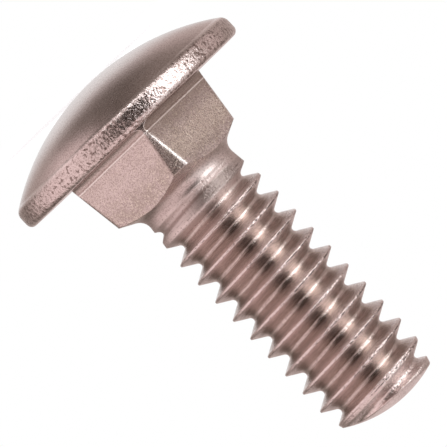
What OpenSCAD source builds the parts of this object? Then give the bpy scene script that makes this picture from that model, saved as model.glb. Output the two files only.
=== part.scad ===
// Carriage bolt, forged and rolled from one piece of steel wire: a domed round head, a square neck
// that stops it turning in its hole, and a coarse right-hand thread.
// Millimetres. The origin is the centre of the bearing face under the head. +Z runs along the shank
// to the tip, and the dome is below, so the bolt stands on its head.

/* [Head] */
// Diameter of the round head across its rim
head_d = 14.44; // [13.6:0.02:15.2]
// Height of the head from the bearing face to the top of the dome
head_h = 3.32; // [3:0.02:3.8]
// Height of the rim where the dome would meet it in a sharp edge
rim_h = 1.02; // [0.96:0.02:1.3]
// Rounding between the dome and the rim
rim_dome_r = 0.54; // [0.3:0.02:0.6]
// Rounding between the rim and the bearing face
rim_face_r = 0.34; // [0.1:0.02:0.36]

/* [Square neck] */
// Width of the square neck across its flats
neck_w = 6.28; // [6.2:0.02:6.6]
// Depth of the neck's corners below the bearing face
neck_depth = 3; // [2.4:0.02:3.6]
// Diameter of the cone that trims the corners, at the head
neck_top_d = 8.84; // [8.6:0.02:9.3]
// Diameter of the cone that trims the corners, at their lower end
neck_end_d = 8.02; // [7.4:0.02:8.4]
// Radius of the hollow between the flats and the bearing face
neck_hollow_r = 0.4; // [0.2:0.02:0.6]
// Angle between the axis and the shoulder that leads from the corners to the blank
shoulder_angle = 63; // [50:1:75]
// Radius of the hollow where the shoulder runs into the blank
shoulder_hollow_r = 0.7; // [0.3:0.05:1]

/* [Thread] */
// Outside diameter over the thread's crests
thread_d = 6.18; // [5.9:0.02:6.35]
// Distance along the axis from one crest to the next
pitch = 1.27; // [1:0.01:1.4]
// Angle between the two flanks of a groove
flank_angle = 60; // [55:1:65]
// Width of the land on a full crest
crest_w = 0.09; // [0.04:0.01:0.16]
// Radius of the rounded root
root_r = 0.21; // [0.12:0.01:0.24]
// Diameter of the blank, where it is left plain below the neck
blank_d = 5.64; // [5.5:0.02:5.8]
// Length of blank left plain below the shoulder's hollow
plain_len = 0.05; // [0:0.05:3]
// Length over which the groove sinks to its full depth
groove_run_in = 1.3; // [0.8:0.1:4]
// Length over which the crests rise to their full height
crest_run_in = 2.4; // [1:0.1:5]
// Angle about the axis at which a crest crosses the plane of the bearing face
thread_turn = -6; // [-180:1:180]
// Flat sides that stand for one turn of the thread
thread_sides = 48; // [24:4:56]

/* [Tip] */
// Length of the bolt from the bearing face to the highest point of its tip
bolt_len = 19.05; // [14:0.05:24]
// Length of the taper that leads a nut on to the thread
taper_len = 1.95; // [0.8:0.05:3]
// Diameter that the taper would reach at the end
taper_end_d = 5.08; // [4.6:0.02:5.5]
// Width and height of the chamfer round the end
end_chamfer = 0.36; // [0.1:0.02:0.6]
// Radius of the end's crown, as the wire was sheared and pointed
crown_r = 6.5; // [5:0.5:20]
// Angle by which the end is out of square
crown_slant = 5.6; // [0:0.2:8]
// Direction about the axis of the end's high side
crown_dir = 229; // [0:1:360]

/* [Hidden] */
$fn = 96;

// Overlap of solids that are joined inside the metal
join = 0.5;

head_r = head_d / 2;
dome_rise = head_h - rim_h;
dome_r = (head_r^2 + dome_rise^2) / (2 * dome_rise);
dome_z = dome_r - head_h;

blank_r = blank_d / 2;
shoulder_z = neck_depth + (neck_end_d / 2 - blank_r) / tan(shoulder_angle);
hollow_reach = shoulder_hollow_r * tan(shoulder_angle / 2);
thread_z = shoulder_z + hollow_reach + plain_len;

crest_r = thread_d / 2;
half_flank = flank_angle / 2;
ridge_r = crest_r + crest_w / 2 / tan(half_flank);
valley_r = ridge_r - pitch / 2 / tan(half_flank);
root_centre_r = valley_r + root_r / sin(half_flank);
groove_depth = blank_r - (root_centre_r - root_r);

// One groove of the thread as [radius, height], from a ridge round the root to the next ridge.
// The ridge is sharp here, and the envelope cuts the land on it.
root_steps = 4;
groove = concat(
    [[ridge_r, 0]],
    [for (k = [0:root_steps])
        let (a = (90 - half_flank) * (2 * k / root_steps - 1))
        [root_centre_r - root_r * cos(a), pitch / 2 + root_r * sin(a)]]
);

// How far the rolling dies stand off their full depth at height z
function lift(z) = groove_depth * max(0, (thread_z + groove_run_in - z) / groove_run_in);

// Point of the thread form on side i of a turn, at step j along the groove's outline
function thread_point(i, j) =
    let (
        p = groove[j % len(groove)],
        z = first_z + p[1] + pitch * (i / thread_sides + floor(j / len(groove))),
        r = p[0] + lift(z),
        a = 360 * i / thread_sides + thread_turn
    )
    [r * cos(a), r * sin(a), z];

// The form starts a turn below the thread and ends a turn past the tip, where it is cut off
first_z = pitch * (floor(thread_z / pitch) - 2);
turns = ceil((bolt_len - first_z) / pitch) + 1;
rows = turns * len(groove);

// Flat outline of a fillet in the inner corner of two lines that meet at v. Each line leaves v along
// a unit vector, and the arc touches both.
module inner_fillet(v, along_a, along_b, r) {
    half = acos(along_a * along_b) / 2;
    reach = r / tan(half);
    mid = along_a + along_b;
    centre = v + mid / norm(mid) * r / sin(half);
    difference() {
        polygon([v, v + along_a * reach, centre, v + along_b * reach]);
        translate(centre) circle(r);
    }
}

// Corner of a flat outline, to be cut away so that an arc about centre is left.
// a and b are the points where the arc ends, and corner is outside it.
module outer_corner(centre, r, a, corner, b) {
    spread = 1.2;
    difference() {
        polygon([centre, centre + (a - centre) * spread, centre + (corner - centre) * spread,
            centre + (b - centre) * spread]);
        translate(centre) circle(r);
    }
}

// Domed head, with a rounded rim
module head() {
    rim_centre = [head_r - rim_dome_r,
        dome_z - sqrt((dome_r - rim_dome_r)^2 - (head_r - rim_dome_r)^2)];
    dome_side = rim_centre - [0, dome_z];
    face_centre = [head_r - rim_face_r, -rim_face_r];
    rotate_extrude()
        difference() {
            intersection() {
                translate([0, -head_h]) square([head_r, head_h]);
                translate([0, dome_z]) circle(dome_r);
            }
            outer_corner(rim_centre, rim_dome_r,
                [0, dome_z] + dome_side / norm(dome_side) * dome_r,
                [head_r, -rim_h],
                [head_r, rim_centre[1]]);
            outer_corner(face_centre, rim_face_r,
                [head_r, face_centre[1]], [head_r, 0], [face_centre[0], 0]);
        }
}

// Round outline that trims the square neck: a slightly tapered cone over the corners, the shoulder
// below them, and the hollow that runs out on the blank
module neck_outline() {
    down = [-sin(shoulder_angle), cos(shoulder_angle)];
    rotate_extrude() {
        polygon([
            [0, -join],
            [neck_top_d / 2, -join],
            [neck_top_d / 2, 0],
            [neck_end_d / 2, neck_depth],
            [blank_r, shoulder_z],
            [0, shoulder_z]
        ]);
        inner_fillet([blank_r, shoulder_z], -down, [0, 1], shoulder_hollow_r);
        square([blank_r, thread_z]);
    }
}

// Square neck, with a hollow along the top of each flat
module neck() {
    intersection() {
        union() {
            translate([-neck_w / 2, -neck_w / 2, -join])
                cube([neck_w, neck_w, thread_z + join]);
            for (turn = [0:90:270])
                rotate([0, 0, turn])
                    translate([neck_w / 2, 0, 0])
                        rotate([90, 0, 0])
                            linear_extrude(neck_top_d, center = true)
                                inner_fillet([0, 0], [1, 0], [0, 1], neck_hollow_r);
        }
        neck_outline();
    }
}

// Endless thread form: a closed mesh that follows the groove round and up the axis
module thread_form() {
    low = [0, 0, first_z];
    high = [0, 0, first_z + pitch * (turns + 1)];
    points = concat(
        [for (i = [0:thread_sides - 1]) for (j = [0:rows]) thread_point(i, j)],
        [for (j = [0:len(groove)]) thread_point(0, rows + j)],
        [low, high]
    );
    columns = thread_sides * (rows + 1);
    low_point = columns + len(groove) + 1;
    high_point = low_point + 1;

    // Index of a point, where the side past the last one is the first, a turn further up
    function at(i, j) =
        i < thread_sides ? i * (rows + 1) + j
        : j + len(groove) <= rows ? j + len(groove)
        : columns + j + len(groove) - rows;

    polyhedron(
        points = points,
        faces = concat(
            [for (i = [0:thread_sides - 1]) for (j = [0:rows - 1])
                [at(i, j), at(i, j + 1), at(i + 1, j + 1)]],
            [for (i = [0:thread_sides - 1]) for (j = [0:rows - 1])
                [at(i, j), at(i + 1, j + 1), at(i + 1, j)]],
            [for (i = [0:thread_sides - 1]) [low_point, at(i, 0), at(i + 1, 0)]],
            [for (j = [0:len(groove) - 1]) [low_point, at(0, j + 1), at(0, j)]],
            [for (i = [0:thread_sides - 1]) [high_point, at(i + 1, rows), at(i, rows)]],
            [for (j = [0:len(groove) - 1])
                [high_point, at(thread_sides, rows - len(groove) + j),
                    at(thread_sides, rows - len(groove) + j + 1)]]
        )
    );
}

// Outline that the thread is rolled and pointed to: the blank, crests that rise to their full
// height, and the taper at the tip
module thread_envelope() {
    taper_z = bolt_len - taper_len;
    chamfer_r = taper_end_d / 2 + end_chamfer * (crest_r - taper_end_d / 2) / taper_len;
    intersection() {
        rotate_extrude()
            polygon([
                [0, neck_depth - join],
                [blank_r, neck_depth - join],
                [blank_r, thread_z],
                [crest_r, thread_z + crest_run_in],
                [crest_r, taper_z],
                [chamfer_r, bolt_len - end_chamfer],
                [chamfer_r - end_chamfer, bolt_len],
                [0, bolt_len]
            ]);
        rotate([0, 0, crown_dir])
            translate([crown_r * sin(crown_slant), 0, bolt_len - crown_r])
                union() {
                    sphere(crown_r);
                    translate([0, 0, -bolt_len]) cylinder(h = bolt_len, r = crown_r);
                }
    }
}

module carriage_bolt() {
    color([0.66, 0.56, 0.53]) {
        head();
        neck();
        intersection() {
            thread_envelope();
            thread_form();
        }
    }
}

carriage_bolt();
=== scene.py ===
# %% [markdown]
# # A carriage bolt
# This lesson dresses a carriage bolt: a domed round head, a square neck that locks the bolt in its
# hole, and a coarse thread. The real bolt is one piece of stainless steel wire. Its head and neck are
# forged, and its thread is then rolled into the same metal, so the bolt is built here as one closed
# mesh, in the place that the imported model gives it. +Z runs from the head to the tip, and the bolt
# stands on its dome. Blender works in metres, and the sizes below are in millimetres.

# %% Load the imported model
import math

import bmesh
import bpy
import numpy as np
from mathutils import Matrix, Vector


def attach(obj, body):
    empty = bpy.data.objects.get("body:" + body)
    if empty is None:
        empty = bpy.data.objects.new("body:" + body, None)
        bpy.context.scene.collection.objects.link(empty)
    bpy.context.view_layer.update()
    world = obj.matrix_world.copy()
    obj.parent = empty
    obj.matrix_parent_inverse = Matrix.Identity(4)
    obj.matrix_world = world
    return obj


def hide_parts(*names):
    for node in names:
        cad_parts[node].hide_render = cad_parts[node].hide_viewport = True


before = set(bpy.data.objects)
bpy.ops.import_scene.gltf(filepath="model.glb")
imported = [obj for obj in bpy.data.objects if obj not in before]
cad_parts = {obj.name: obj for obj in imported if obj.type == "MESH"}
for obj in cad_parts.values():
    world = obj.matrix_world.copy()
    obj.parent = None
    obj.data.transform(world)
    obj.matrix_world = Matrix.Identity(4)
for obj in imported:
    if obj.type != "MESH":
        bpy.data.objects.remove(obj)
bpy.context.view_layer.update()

# %% [markdown]
# ## The sizes
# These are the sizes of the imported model, in millimetres. The photograph gave their ratios, and the
# thread gave their scale, because its pitch and its outside diameter belong to one standard size.

# %% Name the sizes
MM = 0.001

HEAD_R = 7.22          # round head, across its rim
HEAD_H = 3.32          # from the bearing face to the top of the dome
RIM_H = 1.02           # rim, up to the sharp edge it would have with the dome
RIM_DOME_R = 0.54      # rounding between the dome and the rim
RIM_FACE_R = 0.34      # rounding between the rim and the bearing face

NECK_HALF = 3.14       # from the axis to a flat of the square neck
NECK_DEPTH = 3.0       # depth of the neck's corners
NECK_TOP_R = 4.42      # cone that trims the corners, at the head
NECK_END_R = 4.01      # the same cone, at the corners' lower end
NECK_HOLLOW_R = 0.4    # hollow between a flat and the bearing face
BEAD_Z = 0.45          # height of the fine bead that the dies leave across each flat
BEAD_H = 0.03          # how far the bead stands out
BEAD_END = 0.58        # height at which the plain flat starts
SHOULDER_ANGLE = 63.0  # between the axis and the shoulder
SHOULDER_R = 0.7       # hollow between the shoulder and the blank
PLAIN_LEN = 0.05       # blank that is left plain below that hollow

CREST_R = 3.09         # over the thread's crests
PITCH = 1.27
HALF_FLANK = 30.0      # half the angle of a groove
CREST_W = 0.09         # land on a full crest
ROOT_R = 0.21          # rounded root
BLANK_R = 2.82         # wire under the head, before its thread is rolled
GROOVE_RUN_IN = 1.3    # length over which the groove sinks to its full depth
CREST_RUN_IN = 2.4     # length over which the crests rise to their full height
THREAD_TURN = -6.0     # angle at which a crest crosses the plane of the bearing face

BOLT_LEN = 19.05       # from the bearing face to the highest point of the tip
TAPER_LEN = 1.95       # taper at the tip
TAPER_END_R = 2.54     # radius that the taper would reach at the end
END_CHAMFER = 0.36     # chamfer round the end
CROWN_R = 6.5          # crowned end
CROWN_SLANT = 5.6      # angle by which the end is out of square
CROWN_DIR = 229.0      # direction of the end's high side
print(f"the bolt is {HEAD_H + BOLT_LEN:.2f} mm long over all")

# %% Work out what follows from them
dome_rise = HEAD_H - RIM_H
dome_r = (HEAD_R ** 2 + dome_rise ** 2) / (2 * dome_rise)
dome_z = dome_r - HEAD_H

cone_slope = (NECK_TOP_R - NECK_END_R) / NECK_DEPTH
shoulder = math.radians(SHOULDER_ANGLE)
shoulder_z = NECK_DEPTH + (NECK_END_R - BLANK_R) / math.tan(shoulder)
hollow_reach = SHOULDER_R * math.tan(shoulder / 2)
thread_z = shoulder_z + hollow_reach + PLAIN_LEN

half_flank = math.radians(HALF_FLANK)
ridge_r = CREST_R + CREST_W / 2 / math.tan(half_flank)
valley_r = ridge_r - PITCH / 2 / math.tan(half_flank)
crest_z = PITCH * (-THREAD_TURN / 360)      # where a crest crosses the angle 0
print(f"dome radius {dome_r:.2f} mm, thread starts {thread_z:.2f} mm under the head,",
      f"flanks would meet {valley_r:.2f} mm from the axis")

# %% [markdown]
# ## The head and the neck
# Forging leaves a dome with a rounded rim, a flat bearing face and a square neck whose corners are
# trimmed by a cone. All of it can be seen as rings round the axis. A box with bevels could not give the
# curved edges where the square runs out on the round shoulder, and a boolean would leave thin slivers
# there. Rings that are laid along those edges give clean ones, so each ring is worked out in turn, and
# the rings are skinned with four-sided faces.

# %% Outline of the neck
SIDES = 192                 # points on every ring
EIGHTH = SIDES // 8         # points from the middle of a flat to a corner
CREASE = EIGHTH - 5         # the point of an eighth that follows the corner's edge
EDGE = 0.05                 # distance to the points beside an edge, so that it looks slightly rounded
HOLLOW_POINTS = 24          # points round the shoulder's hollow
QUARTER = math.pi / 2       # of a full turn, in radians


def steps(count):
    """Shares of a way in equal steps, up to the whole."""
    return [k / count for k in range(1, count + 1)]


def cone(z):
    """Radius of the cone that trims the corners."""
    return NECK_TOP_R - cone_slope * z


def flat_half(z):
    """Distance from the axis to the flat, with the hollow under the head and the fine bead below it."""
    bead = BEAD_H * max(0, 1 - ((z - BEAD_Z) / (BEAD_END - BEAD_Z)) ** 2) ** 2
    under = max(0, NECK_HOLLOW_R - z)
    return NECK_HALF + NECK_HOLLOW_R - math.sqrt(NECK_HOLLOW_R ** 2 - under ** 2) + bead


def shoulder_line():
    """Points of the shoulder and its hollow, from the corners' lower end to the thread."""
    slope = Vector((-math.sin(shoulder), math.cos(shoulder)))
    start = Vector((BLANK_R, shoulder_z)) - slope * hollow_reach
    centre = Vector((BLANK_R + SHOULDER_R, shoulder_z + hollow_reach))
    line = [Vector((NECK_END_R, NECK_DEPTH)), start]
    turn = math.atan2(start.y - centre.y, start.x - centre.x)
    for share in steps(HOLLOW_POINTS):
        a = turn - (math.pi + turn) * share
        line.append(centre + SHOULDER_R * Vector((math.cos(a), math.sin(a))))
    line.append(Vector((BLANK_R, thread_z)))
    return np.array(line)


shoulder_path = shoulder_line()
shoulder_run = np.concatenate([[0], np.cumsum(np.linalg.norm(np.diff(shoulder_path, axis=0), axis=1))])
print(f"shoulder: {len(shoulder_path)} points, {shoulder_run[-1]:.2f} mm long")

# %% Angles of one ring of the neck


def ring_angles(crease):
    """Angle of each point from the middle of its flat, when the corner's edge is at the angle crease."""
    eighth = math.pi / 4
    beside = min(EDGE / NECK_END_R, (eighth - crease) / 3)
    flat = [(crease - beside) * c / (CREASE - 1) for c in range(CREASE)]
    trimmed = [crease + beside + (eighth - crease - beside) * s for s in steps(EIGHTH - CREASE - 1)]
    return flat + [crease, crease + beside] + trimmed


def all_round(eighth_values, mirrored=False):
    """Repeats the values of an eighth round the whole ring, as angles or as plain numbers."""
    out = []
    for i in range(SIDES):
        quarter, c = divmod(i, 2 * EIGHTH)
        value = eighth_values[min(c, 2 * EIGHTH - c)]
        if mirrored:
            value = quarter * QUARTER + (value if c <= EIGHTH else QUARTER - value)
        out.append(value)
    return np.array(out)


def ring(radii, angles, heights):
    """Corners of one ring, in millimetres."""
    return np.stack([radii * np.cos(angles), radii * np.sin(angles),
                     np.broadcast_to(heights, angles.shape)], axis=1)


even = np.arange(SIDES) * math.tau / SIDES
print("an eighth of a ring, in degrees:", [round(math.degrees(a), 1) for a in ring_angles(0.7)])

# %% Rings of the head
DOME_RINGS, ROUNDING_RINGS, RIM_RINGS, RIM_FACE_RINGS = 30, 8, 3, 6


def arc(centre, radius, angles):
    """Points of an arc, as radius and height. The angle 0 is straight down, towards the dome."""
    return [(centre[0] + radius * math.sin(a), centre[1] - radius * math.cos(a)) for a in angles]


edge_z = dome_z - math.sqrt((dome_r - RIM_DOME_R) ** 2 - (HEAD_R - RIM_DOME_R) ** 2)
dome_angle = math.atan2(HEAD_R - RIM_DOME_R, dome_z - edge_z)
profile = arc((0, dome_z), dome_r, [dome_angle * math.sin(QUARTER * s) for s in steps(DOME_RINGS)])
profile += arc((HEAD_R - RIM_DOME_R, edge_z), RIM_DOME_R,
               [dome_angle + (QUARTER - dome_angle) * s for s in steps(ROUNDING_RINGS)])
profile += [(HEAD_R, edge_z - (RIM_FACE_R + edge_z) * s) for s in steps(RIM_RINGS)]
profile += arc((HEAD_R - RIM_FACE_R, -RIM_FACE_R), RIM_FACE_R,
               [QUARTER + QUARTER * s for s in steps(RIM_FACE_RINGS)])
rings = [ring(np.full(SIDES, r), even, z) for r, z in profile]
print(len(rings), "rings make the dome and the rim")

# %% Rings of the bearing face and the neck
FACE_SHARES = (0.25, 0.5, 0.75, 0.95)   # of the way from the rim to the neck
HOLLOW_RINGS, BEAD_RINGS, FLAT_RINGS, SHOULDER_RINGS = 9, 8, 12, 12
CRISP_SHARE = 0.04                      # of the shoulder, for a first ring that keeps its edge crisp


def flat_end(angle):
    """Run along the shoulder, and height, at which a flat ends at this angle."""
    reach = NECK_HALF / math.cos(angle)
    if reach >= NECK_END_R:
        return 0.0, NECK_DEPTH
    run = np.interp(-reach, -shoulder_path[:, 0], shoulder_run)
    return run, np.interp(run, shoulder_run, shoulder_path[:, 1])


def neck_ring(z_corner, share=None):
    """Ring of the neck, with its columns spaced for the corner's edge at z_corner. It is level there,
    or it lies a share of the way from the bead to the curved ends of the flats."""
    crease = math.acos(min(1, flat_half(z_corner) / cone(z_corner)))
    angles = np.array(ring_angles(crease))
    if share is None:
        heights = np.full(len(angles), z_corner)
    else:
        ends = np.array([flat_end(a)[1] for a in angles])
        heights = BEAD_END + (ends - BEAD_END) * share
    radii = [min(flat_half(z) / math.cos(a), cone(min(z, NECK_DEPTH)))
             for z, a in zip(heights, angles)]
    return ring(all_round(radii), all_round(angles, mirrored=True), all_round(heights))


# The flat bearing face
inner, outer = neck_ring(0.0), rings[-1]
rings += [outer + (inner - outer) * share for share in FACE_SHARES] + [inner]

# The hollow under the head, the bead, and the flats down to their curved ends
rings += [neck_ring(NECK_HOLLOW_R * (1 - math.cos(QUARTER * s))) for s in steps(HOLLOW_RINGS)]
rings += [neck_ring(NECK_HOLLOW_R + (BEAD_END - NECK_HOLLOW_R) * s) for s in steps(BEAD_RINGS)]
wall = NECK_DEPTH - BEAD_END
flat_shares = steps(FLAT_RINGS)[:-1] + [1 - EDGE / wall, 1.0]
rings += [neck_ring(NECK_HOLLOW_R + wall * s, s) for s in flat_shares]

# The shoulder, which starts on the flats' curved ends and ends on the round blank
edge_angles = np.array(ring_angles(math.acos(NECK_HALF / NECK_END_R)))
edge_runs = np.array([flat_end(a)[0] for a in edge_angles])
even_eighth = even[:EIGHTH + 1]
for share in [CRISP_SHARE] + steps(SHOULDER_RINGS):
    runs = edge_runs + (shoulder_run[-1] - edge_runs) * share
    angles = edge_angles + (even_eighth - edge_angles) * share
    radii = np.interp(runs, shoulder_run, shoulder_path[:, 0])
    heights = np.interp(runs, shoulder_run, shoulder_path[:, 1])
    rings.append(ring(all_round(radii), all_round(angles, mirrored=True), all_round(heights)))
print(len(rings), "rings make the head and the neck")

# %% Skin the rings
points = np.concatenate([[[0, 0, -HEAD_H]]] + rings) * MM
faces = [(0, 1 + (i + 1) % SIDES, 1 + i) for i in range(SIDES)]
for k in range(len(rings) - 1):
    low, high = 1 + k * SIDES, 1 + (k + 1) * SIDES
    for i in range(SIDES):
        j = (i + 1) % SIDES
        faces.append((low + i, low + j, high + j, high + i))
forging = bpy.data.meshes.new("forged_head_and_neck")
forging.from_pydata([tuple(p) for p in points], [], faces)
bolt = bpy.data.objects.new("rolled_bolt", forging)
bpy.context.scene.collection.objects.link(bolt)
print(len(forging.vertices), "points and", len(forging.polygons), "faces in the head and the neck")

# %% [markdown]
# ## A socket that can be written in a sum
# The thread's shape and the metal's finish are both sums of many small nodes. Wiring them one by one is
# hard to read. This small class wraps a socket, so that a Python expression adds its Math nodes, and one
# method adds any other node.

# %% Wrap a socket


class Term:
    """A node's socket in a Python expression."""

    def __init__(self, tree, socket=None):
        self.tree, self.socket = tree, socket

    def node(self, kind, values=None, output=0, stops=None, **settings):
        """Adds a node: its settings first, then a value or a link for each socket that is given."""
        made = self.tree.nodes.new(kind)
        for name, value in settings.items():
            setattr(made, name, value)
        for k, (place, colour) in enumerate(stops or ()):
            ramp = made.color_ramp.elements
            stop = ramp[k] if k < 2 else ramp.new(place)
            stop.position, stop.color = place, (*colour, 1)
        for key, value in (values or {}).items():
            if isinstance(value, Term):
                self.tree.links.new(value.socket, made.inputs[key])
            else:
                made.inputs[key].default_value = value
        return Term(self.tree, made.outputs[output])

    def math(self, operation, *others):
        """Adds a Math node whose first value is this one."""
        return self.node("ShaderNodeMath", dict(enumerate((self, *others))), operation=operation)

    def __add__(self, other):
        return self.math("ADD", other)

    def __mul__(self, other):
        return self.math("MULTIPLY", other)

    def __sub__(self, other):
        return self.math("SUBTRACT", other)

    def __truediv__(self, other):
        return self.math("DIVIDE", other)

    def __lt__(self, other):
        return self.math("LESS_THAN", other)

    def __gt__(self, other):
        return self.math("GREATER_THAN", other)

    def __rsub__(self, other):
        return self.node("ShaderNodeMath", {0: other, 1: self}, operation="SUBTRACT")

    def __rtruediv__(self, other):
        return self.node("ShaderNodeMath", {0: other, 1: self}, operation="DIVIDE")

    __radd__, __rmul__ = __add__, __mul__

    def __abs__(self):
        return self.math("ABSOLUTE")

    def least(self, other):
        return self.math("MINIMUM", other)

    def most(self, other):
        return self.math("MAXIMUM", other)

    def within(self):
        """Keeps a share between 0 and 1."""
        return self.most(0).least(1)

    def root(self):
        return self.math("SQRT")

    def sine(self):
        return self.math("SINE")

    def cosine(self):
        return self.math("COSINE")

    def step(self, low, high):
        """Rises smoothly from 0 at low to 1 at high. Where low is the greater one, it falls instead."""
        return self.node("ShaderNodeMapRange", {"Value": self, "From Min": low, "From Max": high},
                         interpolation_type="SMOOTHSTEP")

    def band(self, start, full, fading, gone):
        """Rises from 0 at start to 1 at full, and falls from 1 at fading to 0 at gone."""
        return self.step(start, full) * (1 - self.step(fading, gone))


print("a socket can now be added to, scaled and compared")

# %% [markdown]
# ## The thread and the tip
# A thread is a groove that follows a helix. It could be made by the Screw modifier, but then it could
# not run in at the neck or run out over a tapered tip. Geometry Nodes can bend a flat grid by a rule
# instead. Each row of the grid is a step across one groove, and each column is a step round the helix.
# The rule gives the radius for any angle and height: the groove with its rounded root, or the outline
# that the dies and the pointing leave, whichever is smaller. Points past either end stop on that end's
# edge and are merged there, so that the head, the thread and the crowned tip become one closed skin.

# %% Start the tree and name its inputs
thread_tree = bpy.data.node_groups.new("rolled_thread", "GeometryNodeTree")
face = thread_tree.interface
face.new_socket("Forging", in_out="INPUT", socket_type="NodeSocketGeometry")
face.new_socket("Bolt", in_out="OUTPUT", socket_type="NodeSocketGeometry")
THREAD_SIZES = {
    "Pitch": PITCH, "Crest Radius": CREST_R, "Blank Radius": BLANK_R, "Valley Radius": valley_r,
    "Root Radius": ROOT_R, "Thread Start": thread_z, "Groove Run In": GROOVE_RUN_IN,
    "Crest Run In": CREST_RUN_IN, "Crest Phase": crest_z, "Bolt Length": BOLT_LEN,
    "Taper Length": TAPER_LEN, "Taper End Radius": TAPER_END_R, "End Chamfer": END_CHAMFER,
    "Crown Radius": CROWN_R, "Crown Slant": math.radians(CROWN_SLANT),
    "Crown Direction": math.radians(CROWN_DIR), "Edge Rounding": 0.045, "Seam Depth": 0.022,
}
# The strip of thread starts before the neck's end and stops past the tip, and its rule cuts it to length
THREAD_COUNTS = {"Sides": SIDES, "Rows Across": 28, "Turns": 14, "First Turn": 2, "Cap Rings": 14}
for name in THREAD_SIZES:
    face.new_socket(name, in_out="INPUT", socket_type="NodeSocketFloat")
for name in THREAD_COUNTS:
    face.new_socket(name, in_out="INPUT", socket_type="NodeSocketInt")
for name in ("Forged Finish", "Rolled Finish"):
    face.new_socket(name, in_out="INPUT", socket_type="NodeSocketMaterial")
given = thread_tree.nodes.new("NodeGroupInput")
start = Term(thread_tree)
size = {s.name: Term(thread_tree, s) for s in given.outputs if s.name}
print(len(size), "named inputs")

# %% The rule for the side of the thread
SEAM_HALF = 0.012       # half the width of the seam on a crest, where it is narrowest
SEAM_SPREAD = 0.016     # how much noise can add to it
SEAM_START = 0.9        # length of thread before the crests are high enough for a seam
ROUNDING_LEN = 1 / 3    # length over which the rounding of edges fades in


def groove_radius(across, z):
    """Radius in the groove at a distance from its root. The groove is shallow where it runs in."""
    flank = size["Valley Radius"] + across / math.tan(half_flank)
    centre = size["Valley Radius"] + size["Root Radius"] / math.sin(half_flank)
    bowl = centre - (size["Root Radius"] * size["Root Radius"] - across * across).most(0).root()
    in_bowl = across < size["Root Radius"] * math.cos(half_flank)
    depth = size["Blank Radius"] - centre + size["Root Radius"]
    run_in = (size["Thread Start"] + size["Groove Run In"] - z) / size["Groove Run In"]
    return flank + (bowl - flank) * in_bowl + depth * run_in.most(0)


def outline_radius(z):
    """Radius that the blank, the rising crests, the full crests, the taper and the chamfer allow."""
    rise = (size["Crest Radius"] - size["Blank Radius"]) / size["Crest Run In"]
    rolled = size["Blank Radius"] + (z - size["Thread Start"]).most(0) * rise
    fall = (size["Crest Radius"] - size["Taper End Radius"]) / size["Taper Length"]
    taper = size["Crest Radius"] - (z - size["Bolt Length"] + size["Taper Length"]) * fall
    chamfer = (size["Taper End Radius"] + size["End Chamfer"] * fall
               + size["Bolt Length"] - size["End Chamfer"] - z)
    return rolled.least(size["Crest Radius"]).least(taper).least(chamfer)


def side_radius(angle, z):
    """Radius of the thread at an angle in radians and a height."""
    turns = (z - size["Crest Phase"]) / size["Pitch"] - angle / math.tau
    across = abs(turns.math("FRACT") - 0.5) * size["Pitch"]
    past_start = z - size["Thread Start"]
    rounding = size["Edge Rounding"] * (past_start / ROUNDING_LEN).within()
    side = groove_radius(across, z).math("SMOOTH_MIN", outline_radius(z), rounding)

    # Rolling pushes the metal up from both sides, and the two lips leave a fine seam on the crest.
    # Noise makes it wider and deeper in places.
    spot = start.node("ShaderNodeCombineXYZ", {0: angle.cosine(), 1: angle.sine(), 2: z})
    wander = start.node("ShaderNodeTexNoise", {"Vector": spot, "Scale": 3.0})
    from_crest = size["Pitch"] / 2 - across
    seam = 1 - (from_crest / (SEAM_HALF + wander * SEAM_SPREAD)).within()
    settled = (past_start - SEAM_START).step(0, 1)
    return side - size["Seam Depth"] * seam * settled * (wander * 1.6).least(1)


print("the thread's side has its rule")

# %% The rule for the crowned end
HALVINGS = 16           # of the interval in which the end's edge lies
ABOVE_END = 0.1         # how far over the end that interval starts


def crown_height(angle, r):
    """Height of the crowned end over a point."""
    offset = size["Crown Radius"] * size["Crown Slant"].sine()
    away = r * r - 2 * r * offset * (angle - size["Crown Direction"]).cosine() + offset * offset
    return (size["Bolt Length"] - size["Crown Radius"]
            + (size["Crown Radius"] * size["Crown Radius"] - away).root())


def edge_height(angle):
    """Height at which the side meets the crowned end, found by halving an interval."""
    enter = thread_tree.nodes.new("GeometryNodeRepeatInput")
    leave = thread_tree.nodes.new("GeometryNodeRepeatOutput")
    enter.pair_with_output(leave)
    leave.repeat_items.clear()
    for item in ("Low", "High"):
        leave.repeat_items.new("FLOAT", item)
    enter.inputs["Iterations"].default_value = HALVINGS
    thread_tree.links.new((size["Bolt Length"] - size["Taper Length"]).socket, enter.inputs["Low"])
    thread_tree.links.new((size["Bolt Length"] + ABOVE_END).socket, enter.inputs["High"])
    low, high = (Term(thread_tree, enter.outputs[n]) for n in ("Low", "High"))
    middle = (low + high) / 2
    inside = middle < crown_height(angle, side_radius(angle, middle))
    thread_tree.links.new((low + (middle - low) * inside).socket, leave.inputs["Low"])
    thread_tree.links.new((middle + (high - middle) * inside).socket, leave.inputs["High"])
    return Term(thread_tree, leave.outputs["Low"])


print("the crowned end has its rule, and its edge is halved out in", HALVINGS, "steps")

# %% Bend a grid by each rule
CROWDING = 0.72         # how strongly rows draw together where the shape curves, from 0 to 1
FREE = 100              # added to a limit that only the cap's first ring has to keep


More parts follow.
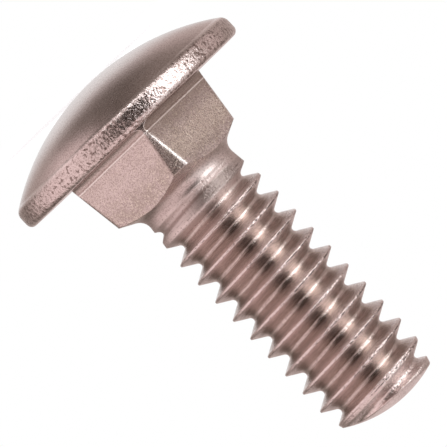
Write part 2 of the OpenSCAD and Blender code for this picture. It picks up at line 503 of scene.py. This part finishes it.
def bent_grid(columns, rows, width, rule):
    """A flat grid, as wide as its turns and one high, whose points a rule moves."""
    grid = start.node("GeometryNodeMeshGrid", {"Size X": width, "Size Y": 1.0,
                                               "Vertices X": columns + 1, "Vertices Y": rows + 1})
    here = start.node("GeometryNodeInputPosition")
    x, y = (here.node("ShaderNodeSeparateXYZ", {0: here}, output=k) for k in range(2))
    turns, across = x + width / 2, y + 0.5
    angle = turns.math("FRACT") * math.tau
    radius, z = rule(turns, across, angle)
    place = start.node("ShaderNodeCombineXYZ", {0: radius * angle.cosine() * MM,
                                                1: radius * angle.sine() * MM, 2: z * MM})
    return start.node("GeometryNodeSetPosition", {"Geometry": grid, "Position": place})


def thread_rule(turns, across, angle):
    """Rows lie closer together on the crest and in the root, where the shape curves."""
    dense = across - (across * (2 * math.tau)).sine() * (CROWDING / (2 * math.tau))
    z = size["Crest Phase"] + size["Pitch"] * (turns + dense + size["First Turn"])
    z = z.most(size["Thread Start"]).least(edge_height(angle))
    return side_radius(angle, z), z


def cap_rule(turns, across, angle):
    """Rings of the crowned end, from its edge to its middle. The first one stays on the side's edge."""
    edge = edge_height(angle)
    radius = side_radius(angle, edge) * (1 - across)
    return radius, crown_height(angle, radius).least(edge + across * FREE)


strip = bent_grid(size["Sides"] * size["Turns"], size["Rows Across"], size["Turns"], thread_rule)
cap = bent_grid(size["Sides"], size["Cap Rings"], 1.0, cap_rule)
print("the strip of thread and the cap are bent")

# %% Join the head, the thread and the tip
MERGE_WITHIN = 1.2e-6   # in metres, far less than the distance between neighbouring points
join = start.node("GeometryNodeJoinGeometry")
for part in (cap, strip, size["Forging"]):
    thread_tree.links.new(part.socket, join.socket.node.inputs[0])
merged = join.node("GeometryNodeMergeByDistance", {"Geometry": join, "Distance": MERGE_WITHIN})
smooth = merged.node("GeometryNodeSetShadeSmooth", {"Geometry": merged})
whole = smooth.node("GeometryNodeRealizeInstances", {"Geometry": smooth})
forged = whole.node("GeometryNodeSetMaterial", {"Geometry": whole, "Material": size["Forged Finish"]})
height = start.node("ShaderNodeSeparateXYZ", {0: start.node("GeometryNodeInputPosition")}, output=2)
rolled = forged.node("GeometryNodeSetMaterial",
                     {"Geometry": forged, "Material": size["Rolled Finish"],
                      "Selection": height > size["Thread Start"] * MM})
end = thread_tree.nodes.new("NodeGroupOutput")
thread_tree.links.new(rolled.socket, end.inputs[0])
print(len(thread_tree.nodes), "nodes in the tree")

# %% Run the tree and keep its mesh
forged_finish = bpy.data.materials.new("forged_stainless")
rolled_finish = bpy.data.materials.new("rolled_stainless")
modifier = bolt.modifiers.new("rolled_thread", "NODES")
modifier.node_group = thread_tree
sockets = {s.name: s.identifier for s in face.items_tree if s.in_out == "INPUT"}
for name, value in {**THREAD_SIZES, **THREAD_COUNTS, "Forged Finish": forged_finish,
                    "Rolled Finish": rolled_finish}.items():
    modifier[sockets[name]] = value
evaluated = bolt.evaluated_get(bpy.context.evaluated_depsgraph_get())
finished = bpy.data.meshes.new_from_object(evaluated)
bolt.modifiers.clear()
bolt.data = finished
print(len(finished.vertices), "points,", sum(len(p.vertices) - 2 for p in finished.polygons), "triangles")

# %% Check that the skin is closed
check = bmesh.new()
check.from_mesh(finished)
open_edges = sum(1 for e in check.edges if len(e.link_faces) != 2)
volume = check.calc_volume(signed=True) / MM ** 3
check.free()
print(f"{open_edges} open edges, volume {volume:.1f} mm3")
assert open_edges == 0 and volume > 0, "the bolt's skin is not closed"

# %% [markdown]
# ## Where a finish sits
# A pattern could be laid over a UV map, but round a bolt that leaves a seam. Both finishes read Object
# coordinates instead. The bolt's object sits at the origin, so these are the bolt's own heights and
# distances, and the patterns stay on the metal from every side. They are turned to millimetres first,
# so that a scale of 5 means about five grains to a millimetre.

# %% Read the place on the bolt


def start_finish(material):
    """Empties a material and gives its place on the bolt: vector, radius, height and angle."""
    material.use_nodes = True
    tree = material.node_tree
    tree.nodes.clear()
    here = Term(tree).node("ShaderNodeTexCoord", output="Object")
    here = here.node("ShaderNodeVectorMath", {0: here, "Scale": 1 / MM}, operation="SCALE")
    x, y, z = (here.node("ShaderNodeSeparateXYZ", {0: here}, output=k) for k in range(3))
    return here, (x * x + y * y).root(), z, y.math("ARCTAN2", x)


def noise(place, scale, detail=2.0, rough=0.5, twist=0.0):
    """Cloudy pattern from 0 to 1, with a number of grains to a millimetre."""
    return place.node("ShaderNodeTexNoise", {"Vector": place, "Scale": scale, "Detail": detail,
                                             "Roughness": rough, "Distortion": twist})


print("a finish knows its place on the bolt")

# %% Mix colours and make metal


def blend(low, high, share):
    """Mixes two colours, which may be plain or come from nodes."""
    colours = {0: share}
    for key, colour in ((6, low), (7, high)):
        colours[key] = colour if isinstance(colour, Term) else (*colour, 1)
    return share.node("ShaderNodeMix", colours, output=2, data_type="RGBA")


def tinted(skin, *coats):
    """Lays coats over a skin in turn. Each is a colour and the share of it that shows."""
    for colour, share in coats:
        skin = blend(skin, colour, share)
    return skin


def metal(colour, roughness, relief, **plain):
    """Metal with a relief in millimetres. Plain values are the same all over the surface."""
    bump = relief.node("ShaderNodeBump", {"Height": relief, "Distance": MM, "Strength": 1.0})
    return colour.node("ShaderNodeBsdfPrincipled",
                       {"Base Color": colour, "Roughness": roughness, "Normal": bump,
                        "Metallic": 1.0, **{k.replace("_", " "): v for k, v in plain.items()}})


def close_finish(shader, kind="ShaderNodeOutputMaterial"):
    """Ends a material or the world with its output node."""
    made = shader.tree.nodes.new(kind)
    shader.tree.links.new(shader.socket, made.inputs["Surface"])
    print("finish closed with", len(shader.tree.nodes), "nodes")


print("colours can be mixed, and metal can be made")

# %% [markdown]
# ## The forged finish
# The dome and the flats come out of polished dies and are then tumbled, so the dome is a smooth satin.
# The rim never touches a die. It keeps a paler, pebbled skin with small dark pits, and its edge with
# the dome has a painted highlight in places. The flats are grainy. The two that face along Y have a
# painted shade at the top and a painted light in the middle, and the two that face along X a painted
# light at the top. A painted shade fills the hollow under the head, and the corners that the cone has
# trimmed have a painted shade, with a painted highlight on the brink beside the flats that face along
# Y. The fine bead under the head has a painted highlight, and the neck's lower end has fine level
# lines. Painted maps could show all this, but they need a picture and an unwrapped skin.
# Here each coat of colour has a mask instead, made from steps along the bolt's height, radius and
# angle. One material holds them all, because they fade into each other on the real bolt.

# %% Say where the forged finish changes
CORNER_SLOPE = 0.137    # how much the cone that trims the corners narrows in each millimetre
BRINK_START = 0.11      # how far the painted highlight on the brink reaches from a flat that faces along Y, in millimetres
BRINK_FULL = 0.05       # how far from it the painted highlight on the brink is at its brightest
BEAD_SHINE = 0.035      # half the width of the bead's painted highlight

here, radius, height, angle = start_finish(forged_finish)
rim = height.step(-1.32, -RIM_H) * radius.step(6.7, 7.0)
# Painted highlight along the edge between the dome and the rim
edge_highlight_band = height.band(-1.30, -1.20, -1.11, -1.01)
# Painted shade in the hollow under the head, where the flats meet the bearing face
under_head_shade = 1 - height.step(0.36, 0.43)
# Painted highlight along the bead
bead = (1.5 - abs((height - BEAD_Z) / BEAD_SHINE)).within()
neck = height.band(0.0, 0.3, 3.2, 3.8)
neck_end = height.step(3.3, 3.7)

# A corner is where the cone cuts, so its mask follows the cone. The flats that face along Y get their own
# painted shade and painted light.
flats_along_y = neck * abs(angle.sine()).step(0.69, 0.73)
corner = (radius + height * CORNER_SLOPE).step(4.34, 4.40) * height.step(0.5, 0.9) * neck
# Painted highlight on the corner's brink beside the flats that face along Y
brink_highlight = abs(radius * angle.sine()).step(NECK_HALF - BRINK_START, NECK_HALF - BRINK_FULL)
print("masks of the forged finish are ready")

# %% Grow its patterns
pebbles = noise(here, 4.2, detail=3.0, rough=0.6)
grain = noise(here, 11.0, detail=2.0, rough=0.65)
clouds = noise(here, 0.45, detail=3.0, rough=0.6, twist=0.4)
mottle = noise(here, 1.2, detail=5.0, rough=0.72)
dust = noise(here, 13.0, detail=2.0, rough=0.7)
level_line = here.node("ShaderNodeCombineXYZ", {2: height, 0: radius * 0.5})
level_lines = noise(level_line, 9.0, detail=3.0, rough=0.7)
rim_pits = noise(here, 5.5, detail=3.0, rough=0.6).step(0.47, 0.40) * rim
pits = rim_pits + grain.step(0.42, 0.32) * neck * 0.6
print("patterns of the forged finish are ready")

# %% Colour the forged finish
SATIN, PALE_SATIN = (0.63, 0.535, 0.515), (0.71, 0.615, 0.595)
RIM_SKIN, PIT = (0.84, 0.73, 0.71), (0.20, 0.145, 0.130)
BROWNED, GRAIN_TOP = (0.50, 0.425, 0.385), (0.82, 0.74, 0.64)
# painted light for the tops of the flats that face along X, and painted shade for the hollow under the
# head
PAINTED_TOP_LIGHT, PAINTED_HOLLOW_SHADE = (0.80, 0.69, 0.67), (0.36, 0.29, 0.26)
# painted shade for the tops and painted light for the middles of the flats that face along Y
PAINTED_TOP_SHADE, PAINTED_MIDDLE_LIGHT = (0.34, 0.28, 0.24), (0.90, 0.81, 0.70)
# the corner's colour is painted shade, and the brink's colour is a painted highlight
DUST, PAINTED_CORNER_SHADE, PAINTED_BRINK_HIGHLIGHT = (0.30, 0.23, 0.21), (0.26, 0.205, 0.185), (0.98, 0.95, 0.93)
# painted highlights, on the edge between the dome and the rim and on the bead
PAINTED_EDGE_HIGHLIGHT, PAINTED_BEAD_HIGHLIGHT = (0.92, 0.83, 0.81), (0.96, 0.92, 0.89)

skin = tinted(
    blend(SATIN, PALE_SATIN, clouds.step(0.3, 0.7)),
    (RIM_SKIN, rim * 0.5),
    (PIT, pits * 0.85),
    (BROWNED, neck * mottle.step(0.45, 0.62) * 0.8),
    (GRAIN_TOP, neck * grain.step(0.52, 0.62) * 0.8),
    # painted light, paler towards the head on the flats that face along X
    (PAINTED_TOP_LIGHT, (neck - flats_along_y) * (1 - height.step(1.2, 2.8)) * 0.55),
    # painted shade in the hollow under the head, deeper on the flats that face along Y
    (PAINTED_HOLLOW_SHADE, (neck + flats_along_y) * under_head_shade * 0.3),
    # painted shade at the top of the flats that face along Y
    (PAINTED_TOP_SHADE, flats_along_y * (1 - height.step(0.5, 1.5)) * 0.5),
    # painted light in the middle of the flats that face along Y
    (PAINTED_MIDDLE_LIGHT, flats_along_y * height.band(1.0, 1.9, 2.5, 3.0) * 0.45),
    (DUST, dust.step(0.54, 0.38) * (0.55 + flats_along_y * 0.15)),
    # painted shade on the corners that the cone has trimmed
    (PAINTED_CORNER_SHADE, corner * (1 - brink_highlight) * (0.45 + grain.step(0.55, 0.40) * 0.35)),
    # painted highlight on the brink beside the flats that face along Y
    (PAINTED_BRINK_HIGHLIGHT, corner * brink_highlight * (0.2 + grain.step(0.40, 0.60) * 0.6)),
    # painted highlight in places along the edge between the dome and the rim
    (PAINTED_EDGE_HIGHLIGHT, edge_highlight_band * clouds.step(0.35, 0.55) * 0.65),
    # painted highlight along the bead
    (PAINTED_BEAD_HIGHLIGHT, bead * 0.9),
)
roughness = 0.19 + clouds * 0.06 + neck * 0.06 + neck_end * 0.16
relief = (pebbles * (rim * 0.045 + 0.003) + grain * (rim * 0.012 + neck * 0.026 + 0.001)
          + mottle * neck * 0.012 + level_lines * neck_end * 0.010)
close_finish(metal(skin, roughness, relief))

# %% [markdown]
# ## The rolled finish
# Rolling drags the metal round the bolt, so the flanks carry fine lines along the thread and spread a
# highlight along the bolt's axis. An anisotropic metal does that without drawing each line. The lines
# that are wide enough to see follow the groove: their pattern is read on a small circle for each turn
# of the groove, so that it meets itself all round. The crests are rubbed paler than the flanks. Each
# carries a dark, broken seam, and on one side of the bolt they are rougher. The first land is only half
# rolled, so it is dull, and on one side it carries a painted shade that dims the highlight there. The
# roots are the glossiest part.

# %% Say where the rolled finish changes
ROUGH_SIDE = -1.45      # direction of the rougher crests, in radians
LAND_SHADE_SIDE = -1.15      # direction in which the painted shade on the first land is darkest
SEAM_SHIFT = 0.14       # from the middle of the crest to the dark of the seam, where a pitch is 2 pi
LINE_RING = 1.6         # radius of the circle on which the lines' pattern is read

here, radius, height, angle = start_finish(rolled_finish)
phase = ((height - crest_z) / PITCH - angle / math.tau) * math.tau
crest = radius.step(2.70, 2.98)
root = 1 - radius.step(2.35, 2.50)
first_land = 1 - height.step(5.2, 5.9)
tip = height.step(17.2, 17.9)
worn = crest.most(first_land * 0.7).most(tip * 0.8)
rough_side = 1 - abs(angle - ROUGH_SIDE).step(0.45, 0.9)
# Painted shade on the first land, darkest on the side where the window's highlight falls
land_shade = height.band(4.42, 4.56, 4.95, 5.15)
land_shade_side = 1 - abs(angle - LAND_SHADE_SIDE).step(0.3, 0.7)
print("masks of the rolled finish are ready")

# %% Draw its lines and the seam
swirl = here.node("ShaderNodeCombineXYZ", {0: phase.cosine() * LINE_RING, 1: phase.sine() * LINE_RING,
                                           2: angle.cosine() * 0.5 + height * 0.12})
lines = here.node("ShaderNodeTexNoise", {"Vector": swirl, "W": angle.sine() * 0.5, "Scale": 4.5,
                                         "Detail": 3.0, "Roughness": 0.6}, noise_dimensions="4D")
wide_lines = lines.step(0.35, 0.6)
speckle = noise(here, 9.0, detail=2.0, rough=0.6)
clouds = noise(here, 0.6, detail=3.0, rough=0.6)
dust = noise(here, 13.0, detail=2.0, rough=0.7)
breaks = noise(here, 2.4, detail=5.0, rough=0.8) + rough_side * 0.05
seam = (phase - SEAM_SHIFT).cosine().step(0.982, 0.995) * breaks.step(0.52, 0.58)
print("lines and seam of the rolled finish are ready")

# %% Colour the rolled finish
FLANK, PALE_FLANK, WORN = (0.46, 0.375, 0.345), (0.64, 0.55, 0.515), (0.82, 0.72, 0.70)
SPECK, SEAM, PAINTED_LAND_SHADE = (0.30, 0.22, 0.20), (0.14, 0.10, 0.09), (0.33, 0.27, 0.25)

skin = tinted(
    blend(FLANK, PALE_FLANK, wide_lines),
    (DUST, dust.step(0.47, 0.36) * 0.6),
    (WORN, worn),
    (SPECK, worn * (speckle - rough_side * 0.04).step(0.42, 0.30) * 0.8),
    (SEAM, seam * crest * (0.55 + rough_side * 0.35)),
    # painted shade on the first land, a little darker along the wide lines
    (PAINTED_LAND_SHADE, land_shade * (0.15 + wide_lines * 0.25 + land_shade_side * 0.55)),
)
roughness = 0.22 + clouds * 0.05 + first_land * 0.24 - root * 0.11
relief = (lines * (1 - worn) * 0.016
          + speckle * (worn * 0.030 + rough_side * (worn * 0.02 + 0.014) + 0.004))
close_finish(metal(skin, roughness, relief, Anisotropic=0.5, Anisotropic_Rotation=0.25))

# %% [markdown]
# ## The bolt takes its place
# The frame has to know what each piece is. The bolt has no joints, so it rides on the one body that the
# model has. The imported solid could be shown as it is, but it has no finish and its thread is coarser,
# so the bolt replaces it to the eye, while the solid stays for collision.

# %% Hand the bolt to the frame
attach(bolt, "root")
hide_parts("carriage_bolt")
print(bolt.name, "wears", [m.name for m in finished.materials if m])

# %% [markdown]
# ## The camera
# The photograph looks at the side of the bolt from about 30 cm, through a long lens that is rolled so
# that the tip points down to the right. The bolt's own outline gave these values.

# %% Place the camera
CAMERA_AZIMUTH = math.radians(-40.9)    # direction from the bolt to the camera
CAMERA_ROLL = math.radians(46.18)       # how far below the horizon the tip points in the picture
CAMERA_AWAY, CAMERA_Z = 310.0, 2.0      # distance from the bolt's axis and height, in millimetres
AIM_SIDE, AIM_Z = -0.026, 6.455         # point that the lens looks at, in millimetres
LENS, SENSOR = 496.0, 36.0              # focal length and sensor width, in millimetres

towards = Vector((math.cos(CAMERA_AZIMUTH), math.sin(CAMERA_AZIMUTH), 0))
sideways = Vector((towards.y, -towards.x, 0))
upwards = Vector((0, 0, 1))
place = (towards * CAMERA_AWAY + upwards * CAMERA_Z) * MM
aim = (sideways * AIM_SIDE + upwards * AIM_Z) * MM
back = (place - aim).normalized()
along = (upwards - back * back.z).normalized()
across = back.cross(along)
right = along * math.cos(CAMERA_ROLL) + across * math.sin(CAMERA_ROLL)
up = across * math.cos(CAMERA_ROLL) - along * math.sin(CAMERA_ROLL)
lens = bpy.data.cameras.new("camera")
lens.lens, lens.sensor_width = LENS, SENSOR
lens.clip_start, lens.clip_end = 0.01, 10.0
camera = bpy.data.objects.new("camera", lens)
camera.matrix_world = Matrix.Translation(place) @ Matrix((right, up, back)).transposed().to_4x4()
bpy.context.scene.collection.objects.link(camera)
bpy.context.scene.camera = camera
print("camera looks along", [round(-v, 3) for v in back])

# %% [markdown]
# ## The light
# Shiny metal shows what stands round it, so it is photographed in a light tent. Lamps could be hung
# instead, but each would show in the metal as a spot. Here the tent is a large sphere that the camera
# doesn't see and that casts no shadow. A tall white window on the right gives the bright streak, plain
# white cloth fills the left, and brown card lines the rest. The dark gap between the window and the
# cloth is where the lens looks in. One colour ramp says which is where at the bolt's own level, a
# second one does so higher up, and a third one low down. Low down on the right there is one more bright
# card, which gives the glints on the edge between the dome and the rim. Behind the bolt the tent is
# open, so that the metal shows the white background there.

# %% Hang the tent
TENT_R, TENT_Z = 0.25, 0.008    # in metres
bpy.ops.mesh.primitive_uv_sphere_add(segments=96, ring_count=48, radius=TENT_R,
                                     location=(0, 0, TENT_Z), rotation=(0, 0, CAMERA_AZIMUTH))
tent = bpy.context.object
tent.name = "light_tent"
tent.visible_camera = False
tent.visible_shadow = False
cloth = bpy.data.materials.new("tent_cloth")
cloth.use_nodes = True
cloth.node_tree.nodes.clear()
in_cloth = Term(cloth.node_tree)
spot = in_cloth.node("ShaderNodeTexCoord", output="Object")
x, y, z = (in_cloth.node("ShaderNodeSeparateXYZ", {0: spot}, output=k) for k in range(3))
azimuth = (0 - y).math("ARCTAN2", x) / math.tau + 0.5      # 0.5 faces the camera, more is on its right
rise = z / TENT_R
depth = 0 - rise
print("the tent is", 2 * TENT_R, "m across")

# %% Say what is where round the tent


def cloth_ramp(*stops):
    """Brightness round the tent, from pairs of degrees and brightness. The camera is at 0 degrees, and
    its right is positive. White cloth and brown card are warm, and what is brighter is neutral."""
    def tint(v):
        return (v, v, v) if v > 1 else (v, v * 0.83, v * (0.72 + 0.10 * v))
    return azimuth.node("ShaderNodeValToRGB", {0: azimuth},
                        stops=[(degrees / 360 + 0.5, tint(v)) for degrees, v in stops])


level = cloth_ramp(
    (-180, 0.80), (-170, 0.55), (-160, 0.50), (-150, 0.3), (-138, 0.28), (-124, 0.42), (-107, 0.92),
    (-98, 1.0), (-50, 1.0), (-30, 0.9), (-19, 0.5), (-10, 0.08), (28, 0.04), (33, 0.8), (37, 3.6),
    (60, 3.5), (68, 1.2), (78, 0.5), (96, 0.45), (103, 0.9), (111, 0.9), (118, 0.3), (132, 0.45),
    (155, 0.55), (180, 0.80))
upper = cloth_ramp(
    (-180, 0.95), (-170, 0.7), (-158, 0.2), (-120, 0.25), (-90, 0.7), (-50, 0.95), (0, 0.95), (24, 0.95),
    (32, 1.1), (62, 1.1), (80, 0.6), (130, 0.35), (160, 0.4), (172, 0.8), (180, 0.95))
lower = cloth_ramp(
    (-180, 0.18), (-164, 0.20), (-156, 0.98), (-120, 1.0), (-60, 1.0), (-34, 0.9), (-22, 0.3), (-6, 0.2),
    (22, 0.2), (32, 1.6), (44, 1.6), (58, 0.9), (72, 0.4), (120, 0.25), (155, 0.32), (166, 0.2),
    (180, 0.16))
print("three ramps light the tent")

# %% Light the tent
LOW_CARD = (3.2, 3.2, 3.2)
BACK_MIDDLE = 0.503     # the opening behind the bolt reaches a little further on the left

low_card = azimuth.band(0.51, 0.53, 0.62, 0.66) * depth.step(0.78, 0.90)
glow = blend(blend(level, upper, rise.step(0.26, 0.46)), lower, depth.step(0.50, 0.80))
glow = blend(glow, LOW_CARD, low_card)
behind = abs(azimuth - BACK_MIDDLE).step(0.457, 0.487) * rise.band(-0.70, -0.50, -0.05, 0.10)
shine = in_cloth.node("ShaderNodeEmission", {"Color": glow, "Strength": 1.0})
opening = in_cloth.node("ShaderNodeBsdfTransparent")
close_finish(in_cloth.node("ShaderNodeMixShader", {0: behind, 1: shine, 2: opening}))
tent.data.materials.append(cloth)

# %% [markdown]
# ## The floor and the background
# The floor is pale and touches the top of the dome, which the bolt stands on. It could be a plain
# white surface, but then the tent would light it unevenly, and its far end would show against the
# background. So a glow is added to what is seen of it, which makes it white like the background and
# still keeps the bolt's soft shadow, and some way from the bolt the glow takes over. The tent's lower
# half stands in for the floor in the metal.

# %% Lay the floor
WHITE = (1, 1, 1, 1)
PAPER, PAPER_SEEN = (0.88, 0.88, 0.88), (0.62, 0.68, 0.76)
GLOW = 0.765                        # fills up the darker paper that is seen to white
SHADOW_R, CLEAR_R = 0.012, 0.035    # in metres, where the glow starts to take over and where it is all

bpy.ops.mesh.primitive_plane_add(size=3.0, location=(0, 0, -HEAD_H * MM))
floor = bpy.context.object
floor.name = "floor"
floor.visible_glossy = False
paper = bpy.data.materials.new("white_paper")
paper.use_nodes = True
paper.node_tree.nodes.clear()
in_paper = Term(paper.node_tree)
camera_ray, glossy_ray, transmission_ray = (
    in_paper.node("ShaderNodeLightPath", output=f"Is {kind} Ray")
    for kind in ("Camera", "Glossy", "Transmission"))
seen = camera_ray.most(glossy_ray).most(transmission_ray)
far = in_paper.node("ShaderNodeVectorMath", {0: in_paper.node("ShaderNodeTexCoord", output="Object")},
                    output="Value", operation="LENGTH").step(SHADOW_R, CLEAR_R)
lit = in_paper.node("ShaderNodeBsdfDiffuse", {"Color": blend(PAPER, PAPER_SEEN, seen)})
filled = in_paper.node("ShaderNodeEmission", {"Color": WHITE, "Strength": seen * GLOW})
near = in_paper.node("ShaderNodeAddShader", {0: lit, 1: filled})
plain = in_paper.node("ShaderNodeEmission", {"Color": WHITE, "Strength": 1.0})
close_finish(in_paper.node("ShaderNodeMixShader", {0: seen * far, 1: near, 2: plain}))
floor.data.materials.append(paper)

# %% Hang the background
world = bpy.data.worlds.new("white_background")
bpy.context.scene.world = world
world.use_nodes = True
world.node_tree.nodes.clear()
close_finish(Term(world.node_tree).node("ShaderNodeBackground", {"Color": WHITE, "Strength": 1.0}),
             "ShaderNodeOutputWorld")
bpy.context.scene.view_settings.view_transform = "Standard"
